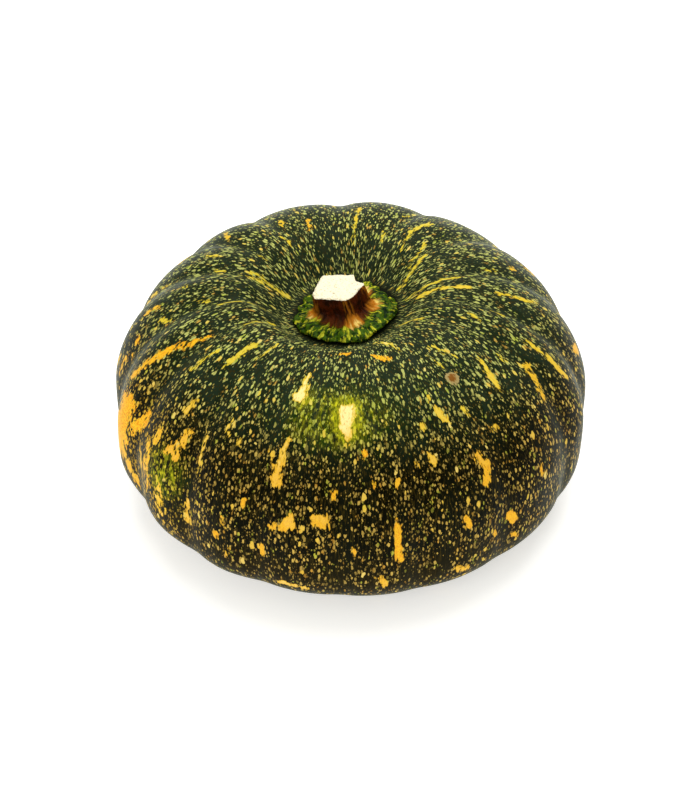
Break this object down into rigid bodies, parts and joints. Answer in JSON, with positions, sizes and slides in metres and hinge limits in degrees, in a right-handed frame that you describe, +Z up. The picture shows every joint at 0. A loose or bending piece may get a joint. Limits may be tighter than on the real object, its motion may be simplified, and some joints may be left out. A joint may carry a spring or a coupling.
{
  "type": "kent pumpkin",
  "caption": "Squat ribbed winter squash with a dark green speckled rind, a hollow around its short cut stem and a flattened underside to stand on.",
  "frame": {"origin": "under the middle of the fruit, on the surface it stands on", "axes": "+Z up through the stem, -Y to the side the picture was taken from"},
  "size_m": [0.2098, 0.2082, 0.1042],
  "materials": {
    "rind": "waxy dark green rind with yellow specks, streaks and blotches",
    "stem": "dry brown stalk with a pale cut end and a knobbly green foot"
  },
  "bodies": {
    "root": {"fruit": "rind", "stem": "stem"}
  },
  "joints": []
}
